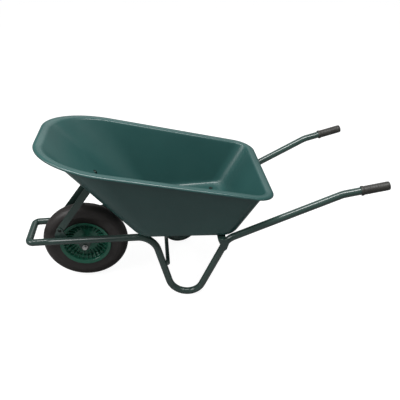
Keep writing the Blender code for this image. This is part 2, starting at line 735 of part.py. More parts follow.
def build_valve():
    """The stem stands in the inner tube's hole and through the rim, with its cap towards the hub."""
    stem = [(0, VALVE_TOP), (VALVE_RADIUS, VALVE_TOP), (VALVE_RADIUS, VALVE_TIP), (0, VALVE_TIP)]
    turned("valve_stem", stem, BUTYL, valve_matrix(), 12)
    base = VALVE_TIP - 0.0005
    cap = [(0, base), (0.0045, base), (0.0045, base - 0.0065), (0.0035, base - 0.0085), (0, base - 0.0085)]
    turned("valve_cap", cap, BUTYL, valve_matrix(), 12)


def build_axle():
    rod = [(0, AXLE_HALF), (AXLE_RADIUS, AXLE_HALF), (AXLE_RADIUS, -AXLE_HALF), (0, -AXLE_HALF)]
    turned("axle", rod, ZINC, wheel_matrix(), 16)
    bore = AXLE_RADIUS + RUNNING_GAP
    bush_end = HUB_HALF + GAP + BUSH_FLANGE
    washer_seat = AXLE_PLATE_IN + PLATE + GAP
    washer_top = washer_seat + AXLE_WASHER
    spacer = ring_profile(bore, SPACER_RADIUS, bush_end + RUNNING_GAP, AXLE_PLATE_IN - GAP)
    washer = ring_profile(bore, AXLE_WASHER_RADIUS, washer_seat, washer_top)
    nut = nut_mesh("axle_nut", AXLE_NUT_CORNER, bore, AXLE_NUT_HEIGHT)
    nut_seat = Matrix.Translation((0, 0, washer_top + GAP))
    for side, label in SIDES:
        turned("axle_spacer_" + label, spacer, ZINC, wheel_matrix(side), 16, closed=True)
        turned("axle_washer_" + label, washer, ZINC, wheel_matrix(side), 16, closed=True)
        add("axle_nut_" + label, nut, ZINC, wheel_matrix(side) @ nut_seat)


# ---------------------------------------------------------------- fasteners


def nut_mesh(name, corner, bore, height):
    """A hexagon nut up from Z = 0, with a plain bore of as many sides as both rings have points."""
    flat = corner * math.cos(math.pi / 6)
    hexagon = [corner if i % 2 == 0 else flat for i in range(12)]
    bm = bmesh.new()
    rings = []
    for radii, z in ((hexagon, 0.0), (hexagon, height), ([bore] * 12, height), ([bore] * 12, 0.0)):
        turns = [math.radians(i * 30) for i in range(12)]
        rings.append([bm.verts.new((r * math.cos(a), r * math.sin(a), z)) for r, a in zip(radii, turns)])
    for low, high in zip(rings, rings[1:] + rings[:1]):
        for i in range(12):
            j = (i + 1) % 12
            bm.faces.new((low[i], low[j], high[j], high[i]))
    bmesh.ops.recalc_face_normals(bm, faces=bm.faces)
    return mesh_from(name, bm)


NUT = nut_mesh("nut", NUT_CORNER, BOLT_RADIUS + NUT_CLEARANCE, NUT_HEIGHT)
WASHER_PROFILE = ring_profile(BOLT_RADIUS + NUT_CLEARANCE, WASHER_RADIUS, 0.0, WASHER)


def fasten(label, matrix, wall, washer):
    """A domed bolt, its nut and maybe a washer. Z = 0 lies between the two pieces held, +Z to the nut."""
    seat = -(wall + GAP)
    if washer:
        seat -= WASHER + GAP
        place = matrix @ Matrix.Translation((0, 0, seat + GAP))
        turned("washer_" + label, WASHER_PROFILE, BLACK_ZINC, place, 12, closed=True)
    nut_seat = PLATE + 2 * GAP
    reach = nut_seat + NUT_HEIGHT + THREAD_OUT - seat
    profile = [(0, BOLT_HEAD), (0.0045, BOLT_HEAD - 0.0006), (0.0075, 0.0020), (0.0085, 0.0)]
    profile += [(BOLT_RADIUS, 0.0), (BOLT_RADIUS, -reach), (0, -reach)]
    flipped = matrix @ Matrix.Translation((0, 0, seat)) @ Matrix.Rotation(math.pi, 4, "X")
    turned("bolt_" + label, profile, BLACK_ZINC, flipped, 12)
    add("nut_" + label, NUT, BLACK_ZINC, matrix @ Matrix.Translation((0, 0, nut_seat)))


def build_fasteners():
    for side, label in SIDES:
        fasten("floor_front_" + label, floor_bolt(0, side), TRAY_WALL, True)
        fasten("floor_rear_" + label, floor_bolt(1, side), TRAY_WALL, True)
        fasten("nose_" + label, nose_bolt(side), TRAY_WALL, True)
        fasten("lug_" + label, lug_bolt(side), PLATE, False)


build_rails()
build_front_hoop()
build_leg_brace()
build_axle_brackets()
build_tray_brackets()
build_cross_strap()
build_stay_lugs()
build_nose_stays()
build_grips()
build_tray()
build_tyre()
build_inner_tube()
build_rim()
build_bushes()
build_valve()
build_axle()
build_fasteners()
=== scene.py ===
"""The looks of the garden wheelbarrow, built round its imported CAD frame.

Metres, +Z up, standing on Z = 0, with the wheel at -X. The left side is -Y, which faces the camera.
"""

import json
import math

import bmesh
import bpy
import numpy as np
from mathutils import Matrix, Vector


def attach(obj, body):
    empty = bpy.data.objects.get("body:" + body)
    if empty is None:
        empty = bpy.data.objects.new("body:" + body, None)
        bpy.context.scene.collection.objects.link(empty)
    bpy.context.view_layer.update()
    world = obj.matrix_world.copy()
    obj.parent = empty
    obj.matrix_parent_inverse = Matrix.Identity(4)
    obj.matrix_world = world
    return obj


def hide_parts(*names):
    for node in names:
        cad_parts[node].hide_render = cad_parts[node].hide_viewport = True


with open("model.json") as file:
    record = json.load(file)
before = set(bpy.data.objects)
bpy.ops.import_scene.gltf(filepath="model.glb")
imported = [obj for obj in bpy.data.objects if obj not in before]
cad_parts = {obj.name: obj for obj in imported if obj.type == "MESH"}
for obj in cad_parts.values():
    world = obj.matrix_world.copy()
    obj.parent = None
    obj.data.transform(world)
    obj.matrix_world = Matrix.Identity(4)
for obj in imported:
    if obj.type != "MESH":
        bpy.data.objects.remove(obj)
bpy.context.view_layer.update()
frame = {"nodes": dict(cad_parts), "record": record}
NODES = frame["nodes"]
SIDES = ((-1, "left"), (1, "right"))

# ---------------------------------------------------------------- sizes shared with the CAD
WHEEL_X, WHEEL_RADIUS = -0.5255, 0.200
TUBE_RADIUS = 0.016
FRONT_CORNER, FRONT_CORNER_RADIUS = (-0.2450, 0.0857, 0.2594), 0.021
ARM_BEND = (-0.1500, 0.0857, 0.2596)
LEG_BEND = (0.3250, 0.1805, 0.3236)
REAR_BEND = (0.6504, 0.2331, 0.3245)
HANDLE_BEND = (1.1212, 0.2770, 0.5512)
HANDLE_END = (1.3081, 0.2929, 0.5928)
RAIL_BEND_RADII = (0.120, 0.082, 0.081, 0.080, 0.122)
TRAY_WALL = 0.0040
RIM_FRONT, RIM_REAR = -0.1340, 0.8455
RIM_HALF_FRONT, RIM_HALF_REAR = 0.2985, 0.2875
RIM_CORNER_FRONT, RIM_CORNER_REAR = (0.275, 0.212), (0.095, 0.085)
RIM_HEIGHT, RIM_HEIGHT_AT, RIM_FALL = 0.6505, 0.3567, 0.2255
FLANGE_FRONT, FLANGE_REAR, FLANGE_SIDE = 0.030, 0.030, 0.031
FLOOR_FRONT, FLOOR_REAR = 0.246, 0.697
FLOOR_HALF_FRONT, FLOOR_HALF_REAR = 0.2155, 0.2345
FLOOR_CORNER_FRONT, FLOOR_CORNER_REAR = (0.085, 0.085), (0.068, 0.068)
FLOOR_Z = 0.3385
TYRE_HALF_WIDTH, TYRE_HEIGHT = 0.044, 0.042
BEAD_RADIUS, BEAD_OUT = 0.1055, 0.0330
HUB_RADIUS, HUB_HALF = 0.0240, 0.0460
RIM_SEAT_RADIUS, RIM_WELL_RADIUS = 0.1046, 0.0910
WEB_HALF = 0.0035
FIN_COUNT, FIN_START, FIN_THICKNESS = 28, 0.0620, 0.0025
FIN_TURN = math.radians(3)
VALVE_ANGLE, VALVE_OUT = math.radians(202.3), 0.0095
AXLE_HALF = 0.0800
GRIP_LENGTH, GRIP_RADIUS = 0.118, 0.0188

# ---------------------------------------------------------------- sizes that are the looks' own
# The CAD's apex is 2 mm lower, because its bend has fewer steps and reaches less far down.
LEG_APEX = (0.4460, 0.2120, -0.1527)
TUBE_END_INSET = 0.006
# The CAD's floor bend is half of this one, its flange bend 0.5 mm less and its smallest corner 2 mm more.
FLOOR_BLEND = 0.024
FLANGE_BLEND = 0.0105
SMALLEST_CORNER = 0.004
FLANGE_REACH = 0.011
FLOOR_RING_INSETS = (0.07, 0.12, 0.17)
# The flange's section as (share of its width, drop): its crown, its rolled edge and its underside.
FLANGE_TOP = (
    (0.62, 0.0004), (0.50, 0.0), (0.38, 0.0), (0.27, 0.0004), (0.18, 0.0013), (0.10, 0.0028),
)
FLANGE_ROLL = (
    (0.045, 0.0046), (0.012, 0.0066), (0.0, 0.0086), (0.014, 0.0100), (0.055, 0.0104), (0.092, 0.0096),
)
FLANGE_UNDER = ((0.105, 0.0080), (0.14, 0.0062), (0.22, 0.0050), (0.34, 0.0044), (0.50, 0.0042))
TYRE_MIDDLE = 0.158
HUB_BORE = 0.0146
WELD_RADIUS = 0.0026
BRACE_WELD_RING = 0.0100

# ---------------------------------------------------------------- tyre relief, grips and fasteners
# The tyre's outer curve runs this many degrees down from the crown, in this many steps.
TYRE_ARC, TYRE_ARC_STEPS = 114, 48
TYRE_GROOVE_AT, TYRE_GROOVE_HALF = 26, 1.8
TYRE_RINGS_AT, TYRE_RING_HALF = (72, 97), 3.0
TYRE_RELIEF = 0.0007
GRIP_RIBS, GRIP_RIB_START, GRIP_RIB_PITCH = 9, 0.0100, 0.0103
BOLT_RADIUS, BOLT_THREAD, BOLT_PITCH = 0.0040, 0.0115, 0.00125
NUT_CORNER, NUT_BORE = 0.0075, 0.0043
WASHER_RADIUS, WASHER_BORE = 0.0105, 0.0045
AXLE_RADIUS, AXLE_THREAD, AXLE_PITCH = 0.0060, 0.0180, 0.00150
AXLE_NUT_CORNER, AXLE_NUT_BORE = 0.0110, 0.0063
SPACER_RADIUS, AXLE_WASHER_RADIUS, AXLE_RING_BORE = 0.0100, 0.0125, 0.0065

# ---------------------------------------------------------------- camera and light
CAMERA_AT = (-0.1670, -1.8624, 1.5652)
CAMERA_DOWN, CAMERA_TURN, CAMERA_ROLL = 0.56157, 0.10397, 0.00104
CAMERA_LENS, SENSOR = 42.04, 36.0
SURROUND = 0.24
FLOOR_GLOW = 0.92
SOFTBOXES = (
    ("overhead", (-0.1, -0.5, 2.7), (2.6, 0.7), 84.0),
    ("front", (-2.6, -1.1, 2.2), (1.6, 1.2), 34.0),
    ("back", (0.5, 2.4, 2.3), (2.6, 1.0), 9.0),
)


# ---------------------------------------------------------------- node helper


class Surface:
    """A material made of nodes, written one call a node."""

    def __init__(self, name):
        self.material = bpy.data.materials.new(name)
        self.material.use_nodes = True
        self.tree = self.material.node_tree
        self.shader = next(n for n in self.tree.nodes if n.type == "BSDF_PRINCIPLED")
        self.coordinates = self.node("ShaderNodeTexCoord").outputs["Object"]

    def node(self, kind, settings=(), **inputs):
        made = self.tree.nodes.new(kind)
        for key, value in dict(settings).items():
            setattr(made, key, value)
        for key, value in inputs.items():
            self.put(made.inputs[key.replace("_", " ")], value)
        return made

    def put(self, socket, value):
        if isinstance(value, bpy.types.NodeSocket):
            self.tree.links.new(value, socket)
        else:
            socket.default_value = value

    def noise(self, scale, detail=4.0, stretch=(1, 1, 1), roughness=0.55):
        place = self.node("ShaderNodeMapping", Vector=self.coordinates, Scale=stretch)
        return self.node(
            "ShaderNodeTexNoise", Vector=place.outputs[0], Scale=scale, Detail=detail, Roughness=roughness
        ).outputs[0]

    def spots(self, scale):
        return self.node("ShaderNodeTexVoronoi", Vector=self.coordinates, Scale=scale).outputs[0]

    def spread(self, value, low, high, to_low=0.0, to_high=1.0):
        found = self.node("ShaderNodeMapRange", {"interpolation_type": "SMOOTHSTEP"}, Value=value)
        for key, number in (("From Min", low), ("From Max", high), ("To Min", to_low), ("To Max", to_high)):
            found.inputs[key].default_value = number
        return found.outputs[0]

    def mix(self, factor, a, b):
        found = self.node("ShaderNodeMix", {"data_type": "RGBA"})
        self.put(found.inputs[0], factor)
        self.put(found.inputs[6], a if isinstance(a, bpy.types.NodeSocket) else (*a, 1))
        self.put(found.inputs[7], b if isinstance(b, bpy.types.NodeSocket) else (*b, 1))
        return found.outputs[2]

    def maths(self, operation, a, b):
        found = self.node("ShaderNodeMath", {"operation": operation})
        self.put(found.inputs[0], a)
        self.put(found.inputs[1], b)
        return found.outputs[0]

    def height(self):
        """How far up the surface is, in metres."""
        return self.node("ShaderNodeSeparateXYZ", Vector=self.coordinates).outputs["Z"]

    def bump(self, height, strength, distance, under=None):
        made = self.node("ShaderNodeBump", Height=height, Strength=strength, Distance=distance)
        if under is not None:
            self.put(made.inputs["Normal"], under)
        return made.outputs[0]

    def set(self, **inputs):
        for key, value in inputs.items():
            self.put(self.shader.inputs[key.replace("_", " ")], value)
        return self.material


# ---------------------------------------------------------------- materials


def paint(name, deep, bright, dust_colour, roughness):
    """Gloss paint on steel: slow colour drift, orange peel, a few scuffs and dust low down."""
    s = Surface(name)
    drift = s.spread(s.noise(7.0, 2.0), 0.35, 0.68)
    scuff = s.spread(s.noise(95.0, 5.0, (1, 1, 1), 0.7), 0.66, 0.78)
    low_down = s.spread(s.height(), 0.22, 0.0)
    grime = s.maths("MULTIPLY", low_down, s.spread(s.noise(26.0, 6.0), 0.48, 0.78))
    colour = s.mix(drift, deep, bright)
    colour = s.mix(s.maths("MULTIPLY", scuff, 0.12), colour, dust_colour)
    colour = s.mix(s.maths("MULTIPLY", grime, 0.18), colour, dust_colour)
    sheen = s.spread(s.noise(60.0, 4.0), 0.3, 0.7, roughness - 0.03, roughness + 0.04)
    rough = s.maths("ADD", sheen, s.maths("MULTIPLY", grime, 0.15))
    peel = s.bump(s.noise(420.0, 2.0), 0.05, 0.0005)
    return s.set(Base_Color=colour, Roughness=rough, Normal=peel, Coat_Weight=0.30, Coat_Roughness=0.12)


def moulded(name, deep, bright, rub_colour, roughness):
    """Injection-moulded plastic: flow marks, a fine satin grain and light rubbing."""
    s = Surface(name)
    flow = s.spread(s.noise(3.2, 3.0, (1, 1.4, 0.8)), 0.30, 0.72)
    colour = s.mix(flow, deep, bright)
    rub = s.spread(s.noise(230.0, 6.0, (1, 0.25, 0.25), 0.75), 0.66, 0.80)
    colour = s.mix(s.maths("MULTIPLY", rub, 0.12), colour, rub_colour)
    cloud = s.spread(s.noise(14.0, 5.0), 0.35, 0.70, roughness - 0.02, roughness + 0.05)
    rough = s.maths("ADD", cloud, s.maths("MULTIPLY", rub, 0.08))
    grain = s.bump(s.noise(900.0, 2.0), 0.04, 0.0003)
    wave = s.bump(s.noise(4.5, 1.0), 0.25, 0.004, grain)
    return s.set(Base_Color=colour, Roughness=rough, Normal=wave, Coat_Weight=0.05, Coat_Roughness=0.22)


def tyre_rubber():
    """Smooth brownish black rubber with a little dust in its pores."""
    s = Surface("tyre_rubber")
    patch = s.spread(s.noise(9.0, 4.0), 0.32, 0.70)
    colour = s.mix(patch, (0.0250, 0.0215, 0.0200), (0.0320, 0.0280, 0.0265))
    dust = s.maths("MULTIPLY", s.spread(s.noise(85.0, 7.0, (1, 1, 1), 0.7), 0.56, 0.82), 0.16)
    colour = s.mix(dust, colour, (0.050, 0.045, 0.041))
    pores = s.bump(s.noise(600.0, 3.0), 0.12, 0.0004)
    rough = s.spread(s.noise(30.0, 4.0), 0.3, 0.7, 0.40, 0.52)
    return s.set(Base_Color=colour, Roughness=rough, Normal=pores)


def plain_rubber():
    s = Surface("butyl_rubber")
    patch = s.spread(s.noise(60.0, 4.0), 0.35, 0.7)
    colour = s.mix(patch, (0.010, 0.010, 0.010), (0.022, 0.021, 0.020))
    return s.set(Base_Color=colour, Roughness=0.62, Normal=s.bump(s.noise(700.0, 2.0), 0.2, 0.0004))


def grip_plastic():
    """Dark grey moulded plastic with a leathery grain, darker where hands have rubbed it."""
    s = Surface("grip_plastic")
    patch = s.spread(s.noise(34.0, 4.0), 0.32, 0.72)
    colour = s.mix(patch, (0.0220, 0.0220, 0.0195), (0.0340, 0.0340, 0.0300))
    grain = s.bump(s.spots(620.0), 0.45, 0.0006)
    rough = s.spread(s.noise(90.0, 4.0), 0.3, 0.7, 0.44, 0.58)
    return s.set(Base_Color=colour, Roughness=rough, Normal=grain)


def plated(name, dull, bright, stain, roughness):
    """Plated steel with the faint spangle and dulling of small hardware."""
    s = Surface(name)
    spangle = s.spread(s.spots(240.0), 0.0, 0.6)
    colour = s.mix(spangle, dull, bright)
    stained = s.maths("MULTIPLY", s.spread(s.noise(90.0, 5.0), 0.52, 0.75), 0.5)
    colour = s.mix(stained, colour, stain)
    rough = s.spread(s.noise(160.0, 4.0), 0.3, 0.7, roughness - 0.08, roughness + 0.10)
    ripple = s.bump(s.noise(500.0, 3.0), 0.12, 0.0004)
    return s.set(Base_Color=colour, Metallic=1.0, Roughness=rough, Normal=ripple)


def nylon():
    s = Surface("nylon")
    patch = s.spread(s.noise(80.0, 4.0), 0.35, 0.7)
    colour = s.mix(patch, (0.58, 0.56, 0.50), (0.70, 0.68, 0.62))
    return s.set(Base_Color=colour, Roughness=0.42, Normal=s.bump(s.noise(650.0, 2.0), 0.15, 0.0004))


DUST = (0.070, 0.088, 0.078)
STAIN = (0.30, 0.28, 0.25)
FINISHES = {
    "frame_paint": paint("frame_paint", (0.024, 0.050, 0.043), (0.030, 0.061, 0.052), DUST, 0.20),
    "wheel_plastic": moulded("wheel_plastic", (0.018, 0.135, 0.085), (0.022, 0.175, 0.108), DUST, 0.30),
    "tray_plastic": moulded("tray_plastic", (0.019, 0.066, 0.0625), (0.0225, 0.076, 0.071), DUST, 0.31),
    "tyre_rubber": tyre_rubber(),
    "butyl_rubber": plain_rubber(),
    "grip_plastic": grip_plastic(),
    "zinc_steel": plated("zinc_plate", (0.50, 0.50, 0.50), (0.72, 0.72, 0.71), STAIN, 0.30),
    "black_zinc": plated("black_zinc", (0.020, 0.026, 0.025), (0.042, 0.052, 0.048), DUST, 0.38),
    "nylon": nylon(),
}

# ---------------------------------------------------------------- mesh helpers


def at(x, y, z):
    """A point from a length along X measured from the axle."""
    return Vector((WHEEL_X + x, y, z))


def mesh_from(name, bm, sharp=40):
    bmesh.ops.recalc_face_normals(bm, faces=bm.faces)
    mesh = bpy.data.meshes.new(name)
    bm.to_mesh(mesh)
    bm.free()
    mesh.shade_smooth()
    mesh.set_sharp_from_angle(angle=math.radians(sharp))
    return mesh


def piece(name, mesh, slot, body="frame", stands_for=(), matrix=None):
    """Puts a finished mesh in the scene, on a CAD body, in place of CAD nodes."""
    obj = bpy.data.objects.new(name, mesh)
    bpy.context.scene.collection.objects.link(obj)
    if matrix is not None:
        mesh.transform(matrix)
    mesh.materials.append(FINISHES[slot])
    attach(obj, body)
    if stands_for:
        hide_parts(*stands_for)
    return obj


def rings_mesh(rings, closed=False, caps=False):
    """A bmesh skinned over rings of points."""
    bm = bmesh.new()
    made = [[bm.verts.new(point) for point in ring] for ring in rings]
    pairs = list(zip(made, made[1:] + made[:1] if closed else made[1:]))
    for low, high in pairs:
        for i in range(len(low)):
            j = (i + 1) % len(low)
            bm.faces.new((low[i], low[j], high[j], high[i]))
    if caps:
        bm.faces.new(made[0])
        bm.faces.new(made[-1])
    return bm


def arc(cx, cy, radius, start, end, steps):
    """Points on an arc whose ends are given in degrees."""
    angles = [math.radians(start + (end - start) * i / steps) for i in range(steps + 1)]
    return [(cx + radius * math.cos(a), cy + radius * math.sin(a)) for a in angles]


def turned(profile, steps, closed=False):
    """A bmesh turned about Z from (radius, height) points. An end at radius 0 is closed with a cap."""
    turns = [math.tau * i / steps for i in range(steps)]
    rings = []
    for radius, height in profile:
        reach = max(radius, 1e-6)
        rings.append([(reach * math.cos(a), reach * math.sin(a), height) for a in turns])
    bm = rings_mesh(rings, closed)
    bmesh.ops.remove_doubles(bm, verts=bm.verts, dist=0.00001)
    return bm


def rounded(profile, radius, steps=3, closed=False):
    """A profile with an arc in place of each corner. Short edges get a smaller arc."""
    points = [Vector(point) for point in profile]
    count, made = len(points), []
    for i, corner in enumerate(points):
        if not closed and i in (0, count - 1):
            made.append(tuple(corner))
            continue
        back, ahead = points[i - 1] - corner, points[(i + 1) % count] - corner
        cut = min(radius, back.length * 0.45, ahead.length * 0.45)
        start, end = corner + back.normalized() * cut, corner + ahead.normalized() * cut
        for step in range(steps + 1):
            t = step / steps
            made.append(tuple(start * (1 - t) ** 2 + corner * 2 * t * (1 - t) + end * t**2))
    return made


def filleted(corners, radii, steps):
    """Points along straight runs joined by arcs: one radius for each inner corner."""
    path = [corners[0]]
    for before, corner, after, radius in zip(corners, corners[1:], corners[2:], radii):
        back, ahead = (before - corner).normalized(), (after - corner).normalized()
        half = back.angle(ahead) / 2
        centre = corner + (back + ahead).normalized() * (radius / math.sin(half))
        start = corner + back * (radius / math.tan(half)) - centre
        end = corner + ahead * (radius / math.tan(half)) - centre
        turn = start.angle(end)
        for step in range(steps + 1):
            part = step / steps
            bow = start * math.sin((1 - part) * turn) + end * math.sin(part * turn)
            path.append(centre + bow / math.sin(turn))
    path.append(corners[-1])
    return path


def swept(path, radii, sides):
    """A bmesh tube along a path that doesn't twist, with a radius for each point."""
    rings = []
    tangent = (path[1] - path[0]).normalized()
    across = tangent.orthogonal().normalized()
    for i, point in enumerate(path):
        ahead, behind = path[min(i + 1, len(path) - 1)], path[max(i - 1, 0)]
        tangent = (ahead - behind).normalized()
        across = (across - tangent * across.dot(tangent)).normalized()
        other = tangent.cross(across)
        ring = []
        for k in range(sides):
            a = math.tau * k / sides
            ring.append(point + (across * math.cos(a) + other * math.sin(a)) * radii[i])
        rings.append(ring)
    return rings_mesh(rings, caps=True)


# ---------------------------------------------------------------- frame tube


def frame_path(steps):
    """The whole frame's centre line, from inside the left grip round the front to the right one."""
    shape = (HANDLE_END, HANDLE_BEND, REAR_BEND, LEG_APEX, LEG_BEND, ARM_BEND, FRONT_CORNER)
    left = [at(x, -y, z) for x, y, z in shape]
    right = [at(x, y, z) for x, y, z in reversed(shape)]
    left[0] += (left[1] - left[0]).normalized() * TUBE_END_INSET
    right[-1] += (right[-2] - right[-1]).normalized() * TUBE_END_INSET
    radii = tuple(reversed(RAIL_BEND_RADII)) + (FRONT_CORNER_RADIUS,)
    return filleted(left + right, radii + tuple(reversed(radii)), steps)


def build_frame_tube():
    path = frame_path(20)
    tube = swept(path, [TUBE_RADIUS] * len(path), 40)
    stands_for = ("rail_left", "rail_right", "front_hoop")
    piece("frame_tube", mesh_from("frame_tube", tube), "frame_paint", "frame", stands_for)


# ---------------------------------------------------------------- tray


def even_steps(start, end, count):
    (x0, y0), (x1, y1) = start, end
    return [(x0 + (x1 - x0) * i / count, y0 + (y1 - y0) * i / count) for i in range(1, count)]


def tray_outline(front, rear, half_front, half_rear, nose_corner, tail_corner):
    """A closed outline as (x, y), each corner a quarter ellipse. Every size has as many points."""
    (nose_x, nose_y), (tail_x, tail_y) = nose_corner, tail_corner
    nose = [(front + nose_x * (1 + x), half_front - nose_y * (1 - y)) for x, y in arc(0, 0, 1, 180, 90, 28)]
    tail = [(rear - tail_x * (1 - x), half_rear - tail_y * (1 - y)) for x, y in arc(0, 0, 1, 90, 0, 18)]
    right = nose + even_steps(nose[-1], tail[0], 24) + tail
    left = [(x, -y) for x, y in reversed(right)]
    return right + even_steps(right[-1], left[0], 16) + left + even_steps(left[-1], right[0], 6)


def rim_z(x):
    return RIM_HEIGHT - RIM_FALL * (x - RIM_HEIGHT_AT)


def rim_ring(front, rear, side, drop):
    """A ring set in from the rim's edge by these amounts, and dropped from its upper face."""
    outline = tray_outline(
        RIM_FRONT + front, RIM_REAR - rear, RIM_HALF_FRONT - side, RIM_HALF_REAR - side,
        (RIM_CORNER_FRONT[0] - front, RIM_CORNER_FRONT[1] - side),
        (RIM_CORNER_REAR[0] - rear, RIM_CORNER_REAR[1] - side),
    )
    return [at(x, y, rim_z(x) - drop) for x, y in outline]


def flange_ring(share, drop):
    """A ring on the flange: share 0 is the rim's edge and 1 is where the wall starts."""
    return rim_ring(FLANGE_FRONT * share, FLANGE_REAR * share, FLANGE_SIDE * share, drop)


def floor_ring(inset, z):
    outline = tray_outline(
        FLOOR_FRONT + inset, FLOOR_REAR - inset, FLOOR_HALF_FRONT - inset, FLOOR_HALF_REAR - inset,
        [max(radius - inset * 0.8, SMALLEST_CORNER) for radius in FLOOR_CORNER_FRONT],
        [max(radius - inset * 0.8, SMALLEST_CORNER) for radius in FLOOR_CORNER_REAR],
    )
    return [at(x, y, z) for x, y in outline]


def toward(ring, other, length):
    return [a + (b - a).normalized() * length for a, b in zip(ring, other)]


def between(start, end, count):
    """Rings spread evenly between two others, without them."""
    return [[a.lerp(b, i / count) for a, b in zip(start, end)] for i in range(1, count)]


def blend(start, corner, end, steps):
    """Rings along a parabola from one ring to another, bent towards a corner ring between them."""
    rings = []
    for step in range(steps + 1):
        t = step / steps
        shares = (1 - t) ** 2, 2 * t * (1 - t), t**2
        rings.append([a * shares[0] + b * shares[1] + c * shares[2] for a, b, c in zip(start, corner, end)])
    return rings


def basin(inset, drop):
    """The rings of one skin of the basin, from the flange down to the middle of the floor."""
    top = rim_ring(FLANGE_FRONT + inset, FLANGE_REAR + inset, FLANGE_SIDE + inset, drop)
    out = FLANGE_REACH
    outer = rim_ring(FLANGE_FRONT - out, FLANGE_REAR - out, FLANGE_SIDE - out, drop)
    foot_z = FLOOR_Z + (TRAY_WALL if inset else 0.0)
    foot = floor_ring(inset * 0.9, foot_z)
    rings = blend(toward(top, outer, FLANGE_BLEND), top, toward(top, foot, FLANGE_BLEND), 7)
    base = blend(toward(foot, top, FLOOR_BLEND), foot, floor_ring(inset + FLOOR_BLEND, foot_z), 9)
    rings += between(rings[-1], base[0], 14) + base
    return rings + [floor_ring(in_from_wall, foot_z) for in_from_wall in FLOOR_RING_INSETS]


def build_tray():
    """A thin shell: the inside skin, over the crowned flange and its rolled edge, to the outside skin."""
    inside = basin(TRAY_WALL * 0.9, 0.0012)
    inside.reverse()
    flange = [flange_ring(share, drop) for share, drop in FLANGE_TOP + FLANGE_ROLL + FLANGE_UNDER]
    outside = basin(0.0, TRAY_WALL)
    bm = rings_mesh(inside + flange + outside, caps=True)
    piece("tray_shell", mesh_from("tray_shell", bm, 60), "tray_plastic", "frame", ("tray",))


# ---------------------------------------------------------------- wheel


def wheel_matrix(side=1):
    """The wheel's frame: its local +Z is the axle's direction on that side."""
    return Matrix.Translation(at(0, 0, WHEEL_RADIUS)) @ Matrix.Rotation(-side * math.pi / 2, 4, "X")


def valve_matrix():
    beside_web = wheel_matrix() @ Matrix.Translation((0, 0, VALVE_OUT))
    return beside_web @ Matrix.Rotation(VALVE_ANGLE, 4, "Z") @ Matrix.Rotation(math.pi / 2, 4, "Y")


def peak(degrees, place, half):
    """How far the tyre's relief reaches at an angle, beside a groove or ring at another."""
    return max(0.0, 1 - abs(degrees - place) / half) * TYRE_RELIEF


def build_tyre():
    """The tyre as a closed section: round crown with two fine grooves, moulded rings, beads and inside."""
    half = []
    for i in range(TYRE_ARC_STEPS + 1):
        degrees = TYRE_ARC * i / TYRE_ARC_STEPS
        groove = peak(degrees, TYRE_GROOVE_AT, TYRE_GROOVE_HALF)
        ridge = sum(peak(degrees, place, TYRE_RING_HALF) for place in TYRE_RINGS_AT)
        reach = math.radians(degrees)
        out = (TYRE_HALF_WIDTH + ridge - groove) * math.sin(reach)
        half.append((TYRE_MIDDLE + (TYRE_HEIGHT + ridge - groove) * math.cos(reach), out))
    half += [(0.1240, 0.0362), (0.1180, 0.0340), (0.1120, 0.0334), (BEAD_RADIUS, BEAD_OUT)]
    inside = [(0.1070, 0.0270), (0.1260, 0.0300), (0.1580, 0.0370), (0.1850, 0.0240), (0.1925, 0.0)]
    section = half[::-1] + [(radius, -out) for radius, out in half[1:]]
    section += [(radius, -out) for radius, out in inside] + inside[-2::-1]
    bm = turned(section, 216, closed=True)
    piece("tyre_skin", mesh_from("tyre_skin", bm, 50), "tyre_rubber", "wheel", ("tyre",), wheel_matrix())


def join_into(bm, other, matrix=None):
    """Adds a bmesh's faces to another."""
    held = bpy.data.meshes.new("held")
    other.to_mesh(held)
    other.free()
    if matrix is not None:
        held.transform(matrix)
    bm.from_mesh(held)
    bpy.data.meshes.remove(held)


def rim_section():
    """The rim's closed half profile and its mirror: edge, bead seat, well, web and hub."""
    well, seat = RIM_WELL_RADIUS, RIM_SEAT_RADIUS
    outside = [(0.1190, 0.0410), (0.1196, 0.0396), (0.1150, 0.0372), (0.1085, 0.0352)]
    outside += [(seat + 0.0012, 0.0335), (seat + 0.0002, 0.0300), (seat, 0.0195), (seat - 0.0028, 0.0168)]
    outside += [(well + 0.0030, 0.0143), (well + 0.0010, 0.0120), (well, 0.0085)]
    inside = [(HUB_BORE, HUB_HALF), (HUB_RADIUS - 0.0012, HUB_HALF), (HUB_RADIUS, HUB_HALF - 0.0012)]
    inside += [(HUB_RADIUS + 0.0008, 0.0150), (HUB_RADIUS + 0.0030, 0.0075), (0.0330, WEB_HALF + 0.0006)]
    inside += [(0.0600, WEB_HALF), (well - 0.0070, WEB_HALF + 0.0004), (well - 0.0040, 0.0060)]
    inside += [(well - 0.0025, 0.0112), (well + 0.0010, 0.0157), (seat - 0.0050, 0.0186)]
    inside += [(seat - 0.0026, 0.0215), (seat - 0.0018, 0.0340), (0.1050, 0.0364)]
    inside += [(0.1102, 0.0379), (0.1170, 0.0410)]
    section = outside + [(radius, -out) for radius, out in reversed(outside)]
    return section + [(radius, -out) for radius, out in reversed(inside)] + inside


def fin_bmesh():
    """One fin between the web and the ring, with rounded edges."""
    well, seat = RIM_WELL_RADIUS, RIM_SEAT_RADIUS
    inner = WEB_HALF - 0.0015
    outline = [(FIN_START - 0.0015, inner), (FIN_START, 0.0090), (seat - 0.0013, 0.0325)]
    outline += [(seat - 0.0013, 0.0197), (well + 0.0018, 0.0149), (well - 0.0013, 0.0112)]
    outline += [(well - 0.0020, inner)]
    half = FIN_THICKNESS / 2
    faces = [[(radius, across, out) for radius, out in outline] for across in (-half, half)]
    bm = rings_mesh(faces, caps=True)
    bmesh.ops.recalc_face_normals(bm, faces=bm.faces)
    bmesh.ops.bevel(bm, geom=bm.edges[:], offset=0.0005, segments=2, profile=0.5, affect="EDGES")
    return bm


